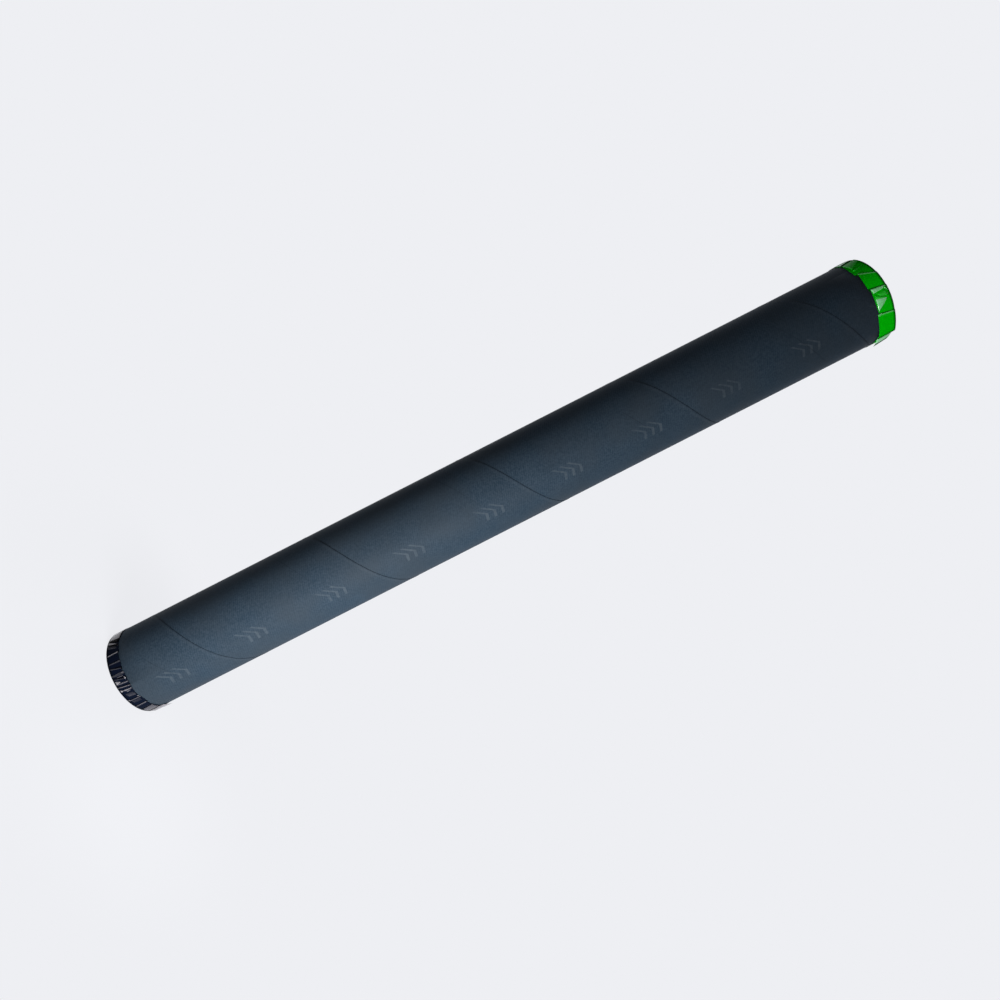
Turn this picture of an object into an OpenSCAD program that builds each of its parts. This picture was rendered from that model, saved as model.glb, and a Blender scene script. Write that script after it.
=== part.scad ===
// Streamer launcher: a single-use, electrically fired compressed-gas cannon.
// Stands on its base at z = 0 with the barrel axis on z; the streamers leave upward.
// All sizes in mm.

/* [Barrel] */
// Length of the wound cardboard tube
barrel_length = 499.6; // [300:0.1:800]
// Inside diameter of the tube
barrel_bore = 49; // [44:0.5:60]
// Wall of the grey board core
core_wall = 1.2; // [0.8:0.1:3]
// Thickness of the black outer wrap
wrap_thickness = 0.18; // [0.1:0.01:0.4]
// Rise of the wrap's spiral seam in one turn
seam_pitch = 103.6; // [60:0.2:160]
// Width of the gap along the seam
seam_width = 0.5; // [0.3:0.1:1]

/* [End films] */
// Thickness of the plastic film on both ends
film_thickness = 0.09; // [0.05:0.01:0.1]
// How far the base film is folded up the tube
base_film_height = 7.6; // [5:0.1:20]
// How far the base film reaches in over the end of the tube
base_film_reach = 8; // [3:0.5:12]
// Number of pleats in the base film
base_pleats = 26; // [12:1:40]
// How far the muzzle film is folded down the tube
muzzle_film_height = 10.6; // [6:0.1:25]
// Angle of a doubled lap between two panels of muzzle film
panel_lap = 8; // [3:1:12]

/* [Base plug] */
// Wall of the moulded plug
plug_wall = 4.6; // [4:0.1:6]
// Floor of the moulded plug
plug_floor = 3.5; // [3:0.1:5]
// Section diameter of the seal ring
seal_section = 3; // [2:0.1:3.4]

/* [Firing socket] */
// Bore of the socket for the firing lead
socket_bore = 6.4; // [4:0.1:8]
// Depth of the socket's contact bush
socket_depth = 15; // [10:0.5:20]

/* [Release] */
// Thickness of the circuit board
board_thickness = 1.6; // [1:0.1:2]
// Space between the board and the striker's tail
release_space = 1.5; // [1.5:0.1:6]
// Thickness of the retaining thread
thread_d = 0.8; // [0.5:0.1:1]

/* [Striker] */
// Diameter of the striker
striker_d = 12; // [11:0.1:13]
// Length of the striker's head
striker_length = 12; // [8:0.5:20]
// Way the striker travels
striker_stroke = 8; // [5:0.5:10]
// Length of the cocked spring
spring_length = 12; // [10:0.5:18]
// Wire of the spring
spring_wire = 1; // [0.7:0.05:1.2]
// Turns of the spring
spring_turns = 6; // [4:1:7]

/* [Gas cylinder] */
// Width of the gas vents between the cylinder's holder and the tube
vent_width = 2.2; // [1.5:0.1:4]
// Straight length of the gas cylinder
cylinder_straight = 100; // [50:1:120]
// Wall of the gas cylinder
cylinder_wall = 1.2; // [1:0.1:2]
// Diameter of the cylinder's neck
neck_d = 13; // [11:0.5:14]
// Length of the cylinder's neck
neck_length = 14; // [12:0.5:20]

/* [Streamers] */
// Height of the pusher
pusher_height = 22; // [14:0.5:40]
// Wall of the pusher
pusher_wall = 1.6; // [1.2:0.1:3]
// Space between the rolls and the tube
roll_play = 0.5; // [0.3:0.05:1.5]
// Width of one streamer roll
roll_width = 18; // [12:0.5:21]
// Hole through one streamer roll
roll_hole = 3; // [2:0.5:6]
// Thickness of the muzzle disc
disc_thickness = 2; // [1:0.1:4]

/* [Hidden] */
$fn = 96;
// Clearances: glued faces, parts pushed together, parts that slide, loose parts
glue_line = 0.02;
push_gap = 0.1;
slide_gap = 0.15;
loose_gap = 0.3;
cut = 1;

// Barrel radii
bore_r = barrel_bore / 2;
core_r = bore_r + core_wall;
wrap_r0 = core_r + glue_line;
wrap_r = wrap_r0 + wrap_thickness;
film_r0 = wrap_r + glue_line;
film_r = film_r0 + film_thickness;

// Seam of the wrap, as steps of a right-hand spiral that first crosses the front at seam_front
seam_front = 50.7;
seam_steps = 60;
front_angle = 270;

// Levels from the base up
z_base = film_thickness;
z_top = z_base + barrel_length;
z_floor = z_base + plug_floor;
socket_top = z_base + socket_depth + 4;
z_board = socket_top + 2 * thread_d + 0.6;
z_board_top = z_board + board_thickness;
plate_t = 2;
tail_drop = striker_stroke - plate_t + 1.5;
z_plate = z_board_top + release_space + tail_drop;
z_seat = z_plate + plate_t;
flange_t = 3;
z_striker = z_seat + spring_length;
z_striker_top = z_striker + striker_length;
z_lip = z_striker_top + striker_stroke + push_gap;
lip_t = 2;
z_cap = z_lip + lip_t + 1.5;
z_shoulder = z_cap + neck_length;
gasket_t = 1.5;

// Plug and posts
plug_r = bore_r - push_gap;
plug_in = plug_r - plug_wall;
z_seal = z_cap - 8;
seal_r = bore_r - seal_section / 2 - 0.05;
groove_in = seal_r - seal_section / 2 - 0.1;
groove_half = seal_section / 2 + 0.15;
post_r = 4;
post_circle = plug_in - post_r - 1.3;
post_neck = 2.9;
pilot_r = 1.05;
screw_r = 1;
screw_head_r = 2.4;
screw_head_h = 1.8;
screw_length = 12;

// Socket
bush_wall = 1.2;
bush_r = socket_bore / 2 + bush_wall;
housing_in = bush_r + 0.05;
housing_r = housing_in + 2.15;
lug_t = 0.6;
lug_w = 2;
lug_x = bush_r - lug_t - 0.1;
slot_gap = 0.2;

// Release parts
thread_x = 4.5;
thread_hole = thread_d / 2 + 0.2;
resistor_r = 1.2;
resistor_l = 6.3;
resistor_x = thread_x + thread_d / 2 + push_gap + resistor_r;
resistor_z = z_board_top + resistor_r + 0.4;
lead_r = 0.25;
lead_y = resistor_l / 2 + 1.5;

// Striker
striker_r = striker_d / 2;
guide_in = striker_r + slide_gap;
guide_r = guide_in + 2.4;
tail_r = 2;
tail_end = z_plate - tail_drop;
tail_hole_z = tail_end + 2;
needle_r = 1.5;
needle_seat = 5;
needle_tip = z_cap - 1.5;
spring_r = (tail_r + guide_in) / 2;

// Gas cylinder and its holders, from the tube inward
holder_r = bore_r - 0.2;
rim_w = 2.8;
spoke_h = 8;
spokes = 6;
cage_wall = 1.4;
cage_skirt = 14;
cage_plate_t = 2.5;
vent_out = holder_r - cage_wall;
vent_in = vent_out - vent_width;
cage_in = vent_in - cage_wall;
cylinder_r = cage_in - loose_gap;
neck_r = neck_d / 2;
neck_bore = 3.5;
cap_t = 0.4;
cap_r = neck_r + cap_t + glue_line;
hub_in = cap_r + loose_gap;
hub_r = neck_r + 5;
corner_r = cylinder_r - hub_r;
z_cylinder_top = z_shoulder + 2 * corner_r + cylinder_straight;
z_cage_plate = z_cylinder_top + loose_gap;
z_sleeve = z_cage_plate + cage_plate_t + push_gap;

// Streamers, stacked down from the muzzle
z_disc = z_top - disc_thickness;
rolls_in_layer = 3;
roll_layers = 10;
layer_gap = 0.1;
roll_tail = 0.15;
roll_gap = 0.2;
roll_r = (bore_r - roll_play - roll_gap) / (1 + 2 / sqrt(3));
roll_circle = roll_r * 2 / sqrt(3) + roll_gap;
z_stack = z_disc - roll_layers * (roll_width + layer_gap);
z_pusher_top = z_stack - layer_gap;
z_pusher = z_pusher_top - pusher_height;
pusher_r = bore_r - loose_gap;
pusher_deck = 3;
sleeve_wall = 1.2;

// Borders of the muzzle film's panels, as angles round the axis, and how far each hangs
panel_at = [8, 38, 72, 105, 138, 168, 200, 231, 263, 294, 337];
panel_drop = [0, 0.5, -0.3, 0.2, 0.4, -0.2, 0, 0.3, -0.5, 0.6, 0.2];

// Plain ring about the axis
module ring(r0, r1, z0, z1) {
  translate([0, 0, z0])
    difference() {
      cylinder(r = r1, h = z1 - z0);
      translate([0, 0, -cut]) cylinder(r = r0, h = z1 - z0 + 2 * cut);
    }
}

// Part of a ring, from one angle through another
module arc_strip(r0, r1, z0, z1, from, sweep) {
  rotate([0, 0, from])
    rotate_extrude(angle = sweep)
      translate([r0, z0]) square([r1 - r0, z1 - z0]);
}

// Copies on the three posts of the plug
module at_posts() {
  for (i = [0 : 2])
    rotate([0, 0, 90 + 120 * i]) translate([post_circle, 0, 0]) children();
}

// Closed tube through n rings of points, with the same number of points in each
module tube(points, sides, n) {
  walls = [
    for (i = [0 : n - 2])
      for (k = [0 : sides - 1])
        let (a = i * sides + k, b = i * sides + (k + 1) % sides)
        each [[a, b + sides, b], [a, a + sides, b + sides]]
  ];
  start = [for (k = [0 : sides - 1]) k];
  end = [for (k = [0 : sides - 1]) n * sides - 1 - k];
  polyhedron(points, concat(walls, [start, end]), convexity = 12);
}

// Grey board tube that carries everything
module barrel_core() {
  color("#8a857c") ring(bore_r, core_r, z_base, z_top);
}

// Spiral gap where the edges of the wound strip meet
module seam() {
  first = floor((z_base - 2 - seam_front) / seam_pitch * seam_steps);
  last = ceil((z_top + 2 - seam_front) / seam_pitch * seam_steps);
  n = last - first + 1;
  low = wrap_r0 - glue_line / 2;
  high = wrap_r + 0.5;
  section = [[low, -0.5], [high, -0.5], [high, 0.5], [low, 0.5]];
  points = [
    for (i = [first : last])
      let (a = front_angle + 360 * i / seam_steps, z = seam_front + seam_pitch * i / seam_steps)
      each [for (c = section) [c[0] * cos(a), c[0] * sin(a), z + c[1] * seam_width]]
  ];
  tube(points, 4, n);
}

// Black paper laminate wound round the core
module barrel_wrap() {
  color("#1b222c")
    difference() {
      ring(wrap_r0, wrap_r, z_base, z_top);
      seam();
    }
}

// Black film folded up over the lower end in pleats
module base_film() {
  pitch = 360 / base_pleats;
  color("#0b0f1c") {
    ring(wrap_r - base_film_reach, film_r, 0, film_thickness);
    ring(film_r0, film_r, film_thickness / 2, base_film_height);
    for (i = [0 : base_pleats - 1])
      arc_strip(
        film_r - film_thickness / 2,
        film_r + film_thickness,
        0,
        base_film_height + 0.5 * sin(137 * i),
        pitch * i + 2 * sin(97 * i),
        pitch * (0.36 + 0.12 * sin(61 * i))
      );
  }
}

// Green film folded down over the upper end in flat panels that lap each other
module muzzle_film_rim() {
  n = len(panel_at);
  z_film = z_top + film_thickness;
  z_low = z_top - muzzle_film_height - max(panel_drop);
  color("#0c9a12")
    difference() {
      union() {
        ring(bore_r, film_r, z_top, z_film);
        ring(film_r0, film_r, z_low, z_top + film_thickness / 2);
        for (a = panel_at)
          arc_strip(film_r - film_thickness / 2, film_r + film_thickness, z_low, z_film, a + 1, panel_lap);
      }
      for (i = [0 : n - 1]) {
        span = (i == n - 1 ? 360 : 0) + panel_at[(i + 1) % n] - panel_at[i];
        edge = z_top - muzzle_film_height - panel_drop[i];
        if (edge > z_low)
          arc_strip(film_r0 - cut, film_r + cut, z_low - cut, edge, panel_at[i] - 0.4, span + 0.8);
      }
    }
}

// Middle of the green film, which tears out along the rim and leaves with the streamers
module muzzle_film_face() {
  z0 = z_top + film_thickness;
  color("#0ea516") translate([0, 0, z0]) cylinder(r = wrap_r - 0.6, h = film_thickness);
}

// Moulded plug glued into the lower end
module base_plug() {
  color("#23262b")
    difference() {
      union() {
        ring(plug_in, plug_r, z_base, z_cap);
        translate([0, 0, z_base]) cylinder(r = plug_r, h = plug_floor);
        at_posts() {
          translate([0, 0, z_floor - 1]) cylinder(r = post_r, h = z_board - z_floor + 1);
          translate([0, 0, z_floor]) cylinder(r = post_neck, h = z_plate - z_floor);
        }
      }
      ring(groove_in, plug_r + cut, z_seal - groove_half, z_seal + groove_half);
      translate([0, 0, z_base - cut]) cylinder(r = housing_r + 0.05, h = plug_floor + 2 * cut);
      at_posts() translate([0, 0, z_plate - screw_length]) cylinder(r = pilot_r, h = screw_length + cut);
      // Moulded recess in the base, crossed by ribs
      difference() {
        ring(housing_r + 2.4, wrap_r - base_film_reach - 1.4, z_base - cut, z_base + 1.2);
        for (i = [0 : 5])
          rotate([0, 0, 60 * i + 30])
            translate([0, -0.9, z_base - 2 * cut]) cube([plug_r, 1.8, 6]);
      }
    }
}

// Seal ring in the plug's groove
module plug_seal_ring() {
  color("#101010")
    translate([0, 0, z_seal])
      rotate_extrude() translate([seal_r, 0]) circle(d = seal_section, $fn = 48);
}

// Insulating cup of the firing socket
module socket_housing() {
  color("#d9d4c7")
    difference() {
      translate([0, 0, z_base]) cylinder(r = housing_r, h = socket_top - z_base);
      translate([0, 0, z_base - cut]) cylinder(r = housing_in, h = socket_top - z_base - 1.5 + cut);
      for (side = [90, 270])
        rotate([0, 0, side])
          translate([lug_x - slot_gap, -lug_w / 2 - slot_gap, socket_top - 2])
            cube([lug_t + 2 * slot_gap, lug_w + 2 * slot_gap, 4]);
    }
}

// Brass bush that the sleeve of the firing plug enters, with its solder lug
module socket_bush() {
  color("#c9a54b") {
    ring(socket_bore / 2, bush_r, z_base, z_base + socket_depth);
    rotate([0, 0, 90])
      translate([lug_x, -lug_w / 2, z_base + socket_depth - 1])
        cube([lug_t, lug_w, z_board_top + 1 - z_base - socket_depth + 1]);
  }
}

// Leaf that meets the tip of the firing plug, with its solder lug
module socket_tip_contact() {
  z_leaf = z_base + socket_depth + 0.8;
  color("#c9a54b")
    rotate([0, 0, 90]) {
      translate([-lug_x - lug_t, -lug_w / 2, z_leaf]) cube([lug_x + lug_t + 1.5, lug_w, 0.5]);
      translate([-lug_x - lug_t, -lug_w / 2, z_leaf]) cube([lug_t, lug_w, z_board_top + 1 - z_leaf]);
    }
}

// Circuit board on the steps of the posts
module release_board() {
  board_r = plug_in - 1.5;
  color("#2f6b3c")
    difference() {
      translate([0, 0, z_board]) cylinder(r = board_r, h = board_thickness);
      translate([0, 0, z_board - cut]) {
        at_posts() cylinder(r = post_neck + slide_gap, h = board_thickness + 2 * cut);
        for (side = [-1, 1]) {
          translate([side * thread_x, 0, 0]) cylinder(r = thread_hole, h = board_thickness + 2 * cut);
          translate([resistor_x, side * lead_y, 0]) cylinder(r = lead_r + 0.1, h = board_thickness + 2 * cut);
        }
        for (side = [90, 270])
          rotate([0, 0, side])
            translate([lug_x - slot_gap, -lug_w / 2 - slot_gap, 0])
              cube([lug_t + 2 * slot_gap, lug_w + 2 * slot_gap, board_thickness + 2 * cut]);
      }
    }
}

// Resistor that burns the thread through
module heating_resistor() {
  color("#b98d5a") {
    translate([resistor_x, resistor_l / 2, resistor_z])
      rotate([90, 0, 0]) cylinder(r = resistor_r, h = resistor_l);
    translate([resistor_x, lead_y + lead_r, resistor_z])
      rotate([90, 0, 0]) cylinder(r = lead_r, h = 2 * (lead_y + lead_r));
    for (side = [-1, 1])
      translate([resistor_x, side * lead_y, z_board - 1]) cylinder(r = lead_r, h = resistor_z - z_board + 1);
  }
}

// Loop of thread through the striker's tail, knotted under the board
module retaining_thread() {
  r = thread_d / 2;
  color("#e9e5da") {
    for (side = [-1, 1]) {
      translate([side * thread_x, 0, z_board - 0.6]) cylinder(r = r, h = tail_hole_z - z_board + 0.6);
      translate([side * thread_x, 0, z_board - r - 0.6]) sphere(r = 2 * r, $fn = 24);
      translate([side * thread_x, 0, tail_hole_z]) sphere(r = r, $fn = 24);
    }
    translate([-thread_x, 0, tail_hole_z]) rotate([0, 90, 0]) cylinder(r = r, h = 2 * thread_x);
  }
}

// Plate that the spring pushes off
module spring_plate() {
  color("#a9adb2")
    difference() {
      translate([0, 0, z_plate]) cylinder(r = plug_in - loose_gap, h = plate_t);
      translate([0, 0, z_plate - cut]) {
        cylinder(r = tail_r + slide_gap, h = plate_t + 2 * cut);
        at_posts() cylinder(r = screw_r + slide_gap, h = plate_t + 2 * cut);
      }
    }
}

// Flanged tube that guides the striker and stops it with its lip
module striker_guide() {
  color("#3a3f46")
    difference() {
      union() {
        translate([0, 0, z_seat]) cylinder(r = plug_in - loose_gap, h = flange_t);
        translate([0, 0, z_seat]) cylinder(r = guide_r, h = z_lip + lip_t - z_seat);
      }
      translate([0, 0, z_seat - cut]) cylinder(r = guide_in, h = z_lip - z_seat + cut);
      translate([0, 0, z_lip - cut]) cylinder(r = needle_r + 0.7, h = lip_t + 2 * cut);
      at_posts() translate([0, 0, z_seat - cut]) cylinder(r = screw_r + slide_gap, h = flange_t + 2 * cut);
    }
}

// Three screws that clamp the guide and the plate to the posts
module guide_screws() {
  z_head = z_seat + flange_t;
  color("#b4b7bb")
    at_posts()
      difference() {
        union() {
          translate([0, 0, z_head - screw_length]) cylinder(r = screw_r, h = screw_length + 1);
          translate([0, 0, z_head]) cylinder(r = screw_head_r, h = screw_head_h);
        }
        translate([0, 0, z_head + screw_head_h - 1]) cylinder(r = 1.2, h = 2, $fn = 6);
      }
}

// Striker with the tail that the thread holds down
module striker() {
  color("#c2a35a")
    difference() {
      union() {
        translate([0, 0, z_striker]) cylinder(r = striker_r, h = striker_length);
        translate([0, 0, tail_end]) cylinder(r = tail_r, h = z_striker - tail_end + 1);
      }
      translate([-2 * tail_r, 0, tail_hole_z]) rotate([0, 90, 0]) cylinder(r = thread_hole, h = 4 * tail_r);
      translate([0, 0, z_striker_top - needle_seat])
        cylinder(r = needle_r + glue_line, h = needle_seat + cut);
    }
}

// Needle pressed into the striker
module piercing_needle() {
  z0 = z_striker_top - needle_seat + glue_line;
  point = 4;
  color("#c9ccd0") {
    translate([0, 0, z0]) cylinder(r = needle_r, h = needle_tip - point - z0);
    translate([0, 0, needle_tip - point]) cylinder(r1 = needle_r, r2 = 0.2, h = point);
  }
}

// Coil spring under the striker, wound as one wire
spring_steps = 16;
spring_rise = spring_length - spring_wire - 2 * push_gap;
spring_n = spring_turns * spring_steps;
spring_slope = atan2(spring_rise / spring_turns, 2 * PI * spring_r);
function spring_angle(i) = 360 * i / spring_steps;
function spring_point(i) = [
  spring_r * cos(spring_angle(i)),
  spring_r * sin(spring_angle(i)),
  z_seat + push_gap + spring_wire / 2 + spring_rise * i / spring_n
];
spring_gap = min([
  for (i = [0 : spring_n - spring_steps]) norm(spring_point(i + spring_steps) - spring_point(i)) - spring_wire
]);
echo(str("least gap between turns of the spring ", spring_gap));

// Round section of the wire at one step, square to the wire
function spring_ring(i, sides) =
  let (a = spring_angle(i), out = [cos(a), sin(a), 0])
  let (up = [sin(a) * sin(spring_slope), -cos(a) * sin(spring_slope), cos(spring_slope)])
  [
    for (k = [0 : sides - 1])
      let (t = 360 * k / sides)
      spring_point(i) + spring_wire / 2 * (cos(t) * up + sin(t) * out)
  ];

module striker_spring() {
  sides = 8;
  color("#9aa0a6") tube([for (i = [0 : spring_n]) each spring_ring(i, sides)], sides, spring_n + 1);
}

// Outline of half the cylinder, grown inward by a wall
module cylinder_half(wall) {
  r = cylinder_r - wall;
  c = corner_r - wall;
  z0 = z_shoulder + wall;
  z1 = z_cylinder_top - wall;
  translate([0, z0]) square([r - c, z1 - z0]);
  translate([0, z0 + c]) square([r, z1 - z0 - 2 * c]);
  translate([r - c, z0 + c]) circle(r = c, $fn = 64);
  translate([r - c, z1 - c]) circle(r = c, $fn = 64);
}

// Steel cylinder of compressed gas, neck down
module gas_cylinder() {
  z_neck = z_cap + cap_t + glue_line;
  color("#9da3a8")
    rotate_extrude()
      difference() {
        union() {
          cylinder_half(0);
          translate([0, z_neck]) square([neck_r, z_shoulder - z_neck + cylinder_wall]);
        }
        cylinder_half(cylinder_wall);
        translate([0, z_neck - cut]) square([neck_bore, z_shoulder - z_neck + 2 * cut + cylinder_wall]);
      }
}

// Thin crimped cap that the needle pierces
module cylinder_cap() {
  color("#d8d9da")
    difference() {
      translate([0, 0, z_cap]) cylinder(r = cap_r, h = 6);
      translate([0, 0, z_cap + cap_t]) cylinder(r = neck_r + glue_line, h = 6);
    }
}

// Gasket between the cylinder's shoulder and the cradle
module neck_gasket() {
  color("#1a1a1a") ring(neck_r + loose_gap, hub_r - loose_gap, z_shoulder - gasket_t, z_shoulder);
}

// Open cradle on the plug that carries the cylinder by its shoulder
module cylinder_cradle() {
  color("#3a3f46") {
    ring(hub_in, hub_r, z_cap, z_shoulder - gasket_t);
    ring(holder_r - rim_w, holder_r, z_cap, z_cap + spoke_h);
    for (i = [0 : spokes - 1])
      rotate([0, 0, 360 / spokes * i])
        translate([hub_r - 1, -1.5, z_cap]) cube([holder_r - rim_w / 2 - hub_r + 1, 3, spoke_h]);
  }
}

// Vented cap that holds the cylinder's upper end in the middle
module cylinder_retainer() {
  z0 = z_cage_plate - cage_skirt;
  color("#3a3f46")
    difference() {
      union() {
        ring(cage_in, vent_in, z0, z_cage_plate + 1);
        ring(vent_out, holder_r, z0, z_cage_plate + 1);
        translate([0, 0, z_cage_plate]) cylinder(r = holder_r, h = cage_plate_t);
        for (i = [0 : spokes - 1])
          rotate([0, 0, 360 / spokes * i])
            translate([vent_in - 0.5, -1.5, z0]) cube([vent_out - vent_in + 1, 3, cage_skirt + 1]);
      }
      difference() {
        ring(vent_in, vent_out, z_cage_plate - cut, z_cage_plate + cage_plate_t + cut);
        for (i = [0 : spokes - 1])
          rotate([0, 0, 360 / spokes * i])
            translate([vent_in - 1, -1.5, z0]) cube([holder_r, 3, 2 * cage_skirt]);
      }
    }
}

// Board sleeve that the pusher rests on
module spacer_sleeve() {
  color("#a39c8f") ring(bore_r - push_gap - sleeve_wall, bore_r - push_gap, z_sleeve, z_pusher - push_gap);
}

// Cup that the gas drives up the barrel behind the streamers
module pusher() {
  skirt_in = pusher_r - pusher_wall;
  color("#d7d9da") {
    ring(skirt_in, pusher_r, z_pusher, z_pusher_top);
    translate([0, 0, z_pusher_top - pusher_deck]) cylinder(r = pusher_r, h = pusher_deck);
    ring(6, 7.6, z_pusher + 6, z_pusher_top - 1);
    for (i = [0 : spokes - 1])
      rotate([0, 0, 360 / spokes * i])
        translate([7, -0.8, z_pusher + 6]) cube([skirt_in - 6.5, 1.6, pusher_height - 7]);
  }
}

// Board disc that closes the muzzle under the film
module muzzle_disc() {
  color("#a39c8f") translate([0, 0, z_disc]) cylinder(r = bore_r - loose_gap - push_gap, h = disc_thickness);
}

// One wound roll of paper streamer with the loose end of its strip, by its number
module streamer_roll(i) {
  level = floor(i / rolls_in_layer);
  turn = 120 * (i % rolls_in_layer) + 90;
  z0 = z_stack + level * (roll_width + layer_gap);
  edge = 0.4;
  color("#ee6a22")
    rotate([0, 0, turn])
      translate([roll_circle, 0, z0]) {
        rotate_extrude()
          polygon([
            [roll_hole / 2, 0],
            [roll_r - edge, 0],
            [roll_r, edge],
            [roll_r, roll_width - edge],
            [roll_r - edge, roll_width],
            [roll_hole / 2, roll_width]
          ]);
        arc_strip(roll_r - edge, roll_r + roll_tail, edge, roll_width - edge, 168, 24);
      }
}

barrel_core();
barrel_wrap();
base_film();
muzzle_film_rim();
muzzle_film_face();
base_plug();
plug_seal_ring();
socket_housing();
socket_bush();
socket_tip_contact();
release_board();
heating_resistor();
retaining_thread();
spring_plate();
striker_guide();
guide_screws();
striker();
piercing_needle();
striker_spring();
gas_cylinder();
cylinder_cap();
neck_gasket();
cylinder_cradle();
cylinder_retainer();
spacer_sleeve();
pusher();
muzzle_disc();
streamer_roll(0);  // streamer_roll_01
streamer_roll(1);  // streamer_roll_02
streamer_roll(2);  // streamer_roll_03
streamer_roll(3);  // streamer_roll_04
streamer_roll(4);  // streamer_roll_05
streamer_roll(5);  // streamer_roll_06
streamer_roll(6);  // streamer_roll_07
streamer_roll(7);  // streamer_roll_08
streamer_roll(8);  // streamer_roll_09
streamer_roll(9);  // streamer_roll_10
streamer_roll(10);  // streamer_roll_11
streamer_roll(11);  // streamer_roll_12
streamer_roll(12);  // streamer_roll_13
streamer_roll(13);  // streamer_roll_14
streamer_roll(14);  // streamer_roll_15
streamer_roll(15);  // streamer_roll_16
streamer_roll(16);  // streamer_roll_17
streamer_roll(17);  // streamer_roll_18
streamer_roll(18);  // streamer_roll_19
streamer_roll(19);  // streamer_roll_20
streamer_roll(20);  // streamer_roll_21
streamer_roll(21);  // streamer_roll_22
streamer_roll(22);  // streamer_roll_23
streamer_roll(23);  // streamer_roll_24
streamer_roll(24);  // streamer_roll_25
streamer_roll(25);  // streamer_roll_26
streamer_roll(26);  // streamer_roll_27
streamer_roll(27);  // streamer_roll_28
streamer_roll(28);  // streamer_roll_29
streamer_roll(29);  // streamer_roll_30
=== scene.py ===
# %% [markdown]
# # A streamer launcher
# The real object is a single-use launcher: a wound paper tube with a pleated black film round its
# base and a folded green film over its muzzle. A gas cylinder, a spring striker and paper rolls sit
# inside. The solid model already holds every measure, so this lesson dresses it: papers, films,
# finishes, and a camera that looks at it the way the photograph does.

# %% Load the solid model
import bpy
import bmesh
import math
from mathutils import Matrix, Vector
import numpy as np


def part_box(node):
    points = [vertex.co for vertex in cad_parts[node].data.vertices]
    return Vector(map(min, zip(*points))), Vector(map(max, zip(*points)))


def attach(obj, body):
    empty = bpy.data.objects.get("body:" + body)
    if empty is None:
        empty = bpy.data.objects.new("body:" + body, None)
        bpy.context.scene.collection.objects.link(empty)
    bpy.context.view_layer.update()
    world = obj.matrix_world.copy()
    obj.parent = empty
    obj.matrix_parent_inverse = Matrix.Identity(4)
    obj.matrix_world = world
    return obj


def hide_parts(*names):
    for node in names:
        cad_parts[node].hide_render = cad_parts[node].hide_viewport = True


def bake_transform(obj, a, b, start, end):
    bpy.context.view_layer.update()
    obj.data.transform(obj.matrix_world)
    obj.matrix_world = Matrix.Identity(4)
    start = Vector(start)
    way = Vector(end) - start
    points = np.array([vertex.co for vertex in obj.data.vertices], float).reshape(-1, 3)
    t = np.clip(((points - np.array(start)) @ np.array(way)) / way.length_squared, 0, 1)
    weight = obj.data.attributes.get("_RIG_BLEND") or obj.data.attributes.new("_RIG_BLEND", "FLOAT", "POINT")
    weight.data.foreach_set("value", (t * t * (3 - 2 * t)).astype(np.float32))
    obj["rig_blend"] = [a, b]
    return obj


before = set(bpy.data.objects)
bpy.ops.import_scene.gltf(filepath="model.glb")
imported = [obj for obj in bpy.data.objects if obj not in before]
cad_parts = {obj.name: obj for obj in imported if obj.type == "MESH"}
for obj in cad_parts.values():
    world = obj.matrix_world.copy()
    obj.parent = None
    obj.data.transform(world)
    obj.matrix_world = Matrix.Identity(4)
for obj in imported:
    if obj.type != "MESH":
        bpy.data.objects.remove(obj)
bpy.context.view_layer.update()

# %% [markdown]
# ## Measures
# A dressed piece has to sit exactly where its solid sits. The numbers could be typed again, but
# then a new tube length would leave the skin behind. Reading the boxes of the solids keeps both
# in step. Only small sizes of paper and film, in millimetres, are given here.

# %% Measures from the solids
MM = 0.001
tube_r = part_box("barrel_wrap")[1][0]
z_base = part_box("barrel_core")[0][2]
z_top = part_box("barrel_core")[1][2]
print("tube radius, base and top in mm", [round(c / MM, 2) for c in (tube_r, z_base, z_top)])


# %% [markdown]
# ## From a bmesh to a piece
# Every piece of this lesson ends the same way: its bmesh becomes an object at the origin, gets its
# finish, is told which moving body carries it, and the solids it stands for are hidden. One helper does it.
# A wall is given by a Solidify modifier, which is how thin paper and film get two faces.

# %% Piece helper
def add_piece(name, bm, finish, body, nodes, wall=0.0):
    mesh = bpy.data.meshes.new(name)
    bm.to_mesh(mesh)
    bm.free()
    mesh.polygons.foreach_set("use_smooth", [True] * len(mesh.polygons))
    mesh.materials.append(finish)
    piece = bpy.data.objects.new(name, mesh)
    bpy.context.scene.collection.objects.link(piece)
    if wall:
        solid = piece.modifiers.new("wall", "SOLIDIFY")
        solid.thickness = wall
        solid.offset = -1
    if body:
        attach(piece, body)
    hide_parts(*nodes)
    return piece


print("piece helper ready")


# %% [markdown]
# ## Nodes in a few words
# A material is a small net of nodes. Written out in full, each net takes a page, so a few short
# helpers add a node and link it in one line. A value that is a socket is linked, any other value
# is set on the input.

# %% Node helpers
def node(tree, kind, values=None, **settings):
    made = tree.nodes.new("ShaderNode" + kind)
    for key, value in settings.items():
        setattr(made, key, value)
    for key, value in (values or {}).items():
        if isinstance(value, bpy.types.NodeSocket):
            tree.links.new(value, made.inputs[key])
        else:
            made.inputs[key].default_value = value
    return made


def calc(tree, operation, *values):
    return node(tree, "Math", dict(enumerate(values)), operation=operation).outputs[0]


def mix(tree, amount, a, b):
    return node(tree, "Mix", {0: amount, 6: a, 7: b}, data_type="RGBA").outputs[2]


def mesh_number(tree, label):
    return node(tree, "Attribute", attribute_name=label).outputs["Fac"]


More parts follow.
